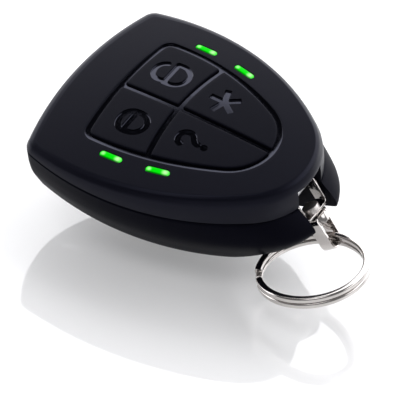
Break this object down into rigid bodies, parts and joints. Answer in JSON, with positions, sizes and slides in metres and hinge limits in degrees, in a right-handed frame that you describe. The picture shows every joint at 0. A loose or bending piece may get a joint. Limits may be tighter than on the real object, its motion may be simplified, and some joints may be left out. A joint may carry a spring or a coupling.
{
  "type": "alarm key fob",
  "caption": "Shield-shaped alarm key fob: domed two-piece plastic case, quadrant keys, glowing light slits, and a riveted swivel link with a split key ring.",
  "frame": {"origin": "centre of the case's flat back face, half way along the top shell", "axes": "+Z out of the key face, +Y to the wide end, ring end at -Y, +X to the right with the keys facing the viewer and the wide end up"},
  "size_m": [0.047, 0.0723, 0.0194],
  "materials": {
    "case_plastic": "fine-textured black",
    "key_plastic": "smooth satin black",
    "light_pipe": "clear green, lit from below",
    "board": "green solder mask",
    "switch_plastic": "moulded",
    "plunger_plastic": "moulded",
    "lamp": "clear lamp body",
    "cell_steel": "bright",
    "holder_plastic": "moulded",
    "contact_steel": "stamped sheet",
    "contact_brass": "stamped sheet",
    "chip_plastic": "moulded",
    "can_metal": "plain",
    "antenna_copper": "coated",
    "screw_steel": "plain",
    "pin_steel": "turned",
    "rivet_steel": "headed",
    "nickel": "bright nickel plate"
  },
  "bodies": {
    "housing": {"top_shell": "case_plastic", "rear_shell": "case_plastic", "lens_left_upper": "light_pipe", "lens_left_lower": "light_pipe", "lens_right_upper": "light_pipe", "lens_right_lower": "light_pipe", "circuit_board": "board", "switch_lock": "switch_plastic", "switch_unlock": "switch_plastic", "switch_star": "switch_plastic", "switch_help": "switch_plastic", "led_left_upper": "lamp", "led_left_lower": "lamp", "led_right_upper": "lamp", "led_right_lower": "lamp", "coin_cell": "cell_steel", "cell_holder": "holder_plastic", "cell_clip": "contact_steel", "cell_spring": "contact_brass", "control_chip": "chip_plastic", "radio_chip": "chip_plastic", "crystal": "can_metal", "antenna": "antenna_copper", "case_screws": "screw_steel", "cross_pin": "pin_steel"},
    "key_lock": {"key_lock": "key_plastic"},
    "key_unlock": {"key_unlock": "key_plastic"},
    "key_star": {"key_star": "key_plastic"},
    "key_help": {"key_help": "key_plastic"},
    "plunger_lock": {"plunger_lock": "plunger_plastic"},
    "plunger_unlock": {"plunger_unlock": "plunger_plastic"},
    "plunger_star": {"plunger_star": "plunger_plastic"},
    "plunger_help": {"plunger_help": "plunger_plastic"},
    "link": {"link_bracket": "nickel", "swivel_rivet": "rivet_steel"},
    "lower_bracket": {"ring_bracket": "nickel"},
    "ring": {"split_ring": "nickel"}
  },
  "joints": [
    {"name": "key_lock_press", "type": "slide", "parent": "housing", "child": "key_lock", "axis": [0, 0, -1], "range_m": [0, 0.0005], "stiffness_N_per_m": 400},
    {"name": "key_unlock_press", "type": "slide", "parent": "housing", "child": "key_unlock", "axis": [0, 0, -1], "range_m": [0, 0.0005], "stiffness_N_per_m": 400},
    {"name": "key_star_press", "type": "slide", "parent": "housing", "child": "key_star", "axis": [0, 0, -1], "range_m": [0, 0.0005], "stiffness_N_per_m": 400},
    {"name": "key_help_press", "type": "slide", "parent": "housing", "child": "key_help", "axis": [0, 0, -1], "range_m": [0, 0.0005], "stiffness_N_per_m": 400},
    {"name": "plunger_lock_press", "type": "slide", "parent": "housing", "child": "plunger_lock", "axis": [0, 0, -1], "range_m": [0, 0.0005]},
    {"name": "plunger_unlock_press", "type": "slide", "parent": "housing", "child": "plunger_unlock", "axis": [0, 0, -1], "range_m": [0, 0.0005]},
    {"name": "plunger_star_press", "type": "slide", "parent": "housing", "child": "plunger_star", "axis": [0, 0, -1], "range_m": [0, 0.0005]},
    {"name": "plunger_help_press", "type": "slide", "parent": "housing", "child": "plunger_help", "axis": [0, 0, -1], "range_m": [0, 0.0005]},
    {"name": "link_swing", "type": "hinge", "parent": "housing", "child": "link", "pos_m": [0, -0.0246, 0.0125], "axis": [-1, 0, 0], "range_deg": [0, 88]},
    {"name": "link_swivel", "type": "hinge", "parent": "link", "child": "lower_bracket", "pos_m": [0, -0.02829, 0.00777], "axis": [0, 0.6157, 0.788], "continuous": true},
    {"name": "ring_swing", "type": "hinge", "parent": "lower_bracket", "child": "ring", "pos_m": [0, -0.03211, 0.00289], "axis": [0.2756, -0.7575, 0.5918], "range_deg": [0, 205]}
  ],
  "couplings": [
    {"joint": "plunger_lock_press", "follows": "key_lock_press", "ratio": 1},
    {"joint": "plunger_unlock_press", "follows": "key_unlock_press", "ratio": 1},
    {"joint": "plunger_star_press", "follows": "key_star_press", "ratio": 1},
    {"joint": "plunger_help_press", "follows": "key_help_press", "ratio": 1}
  ]
}
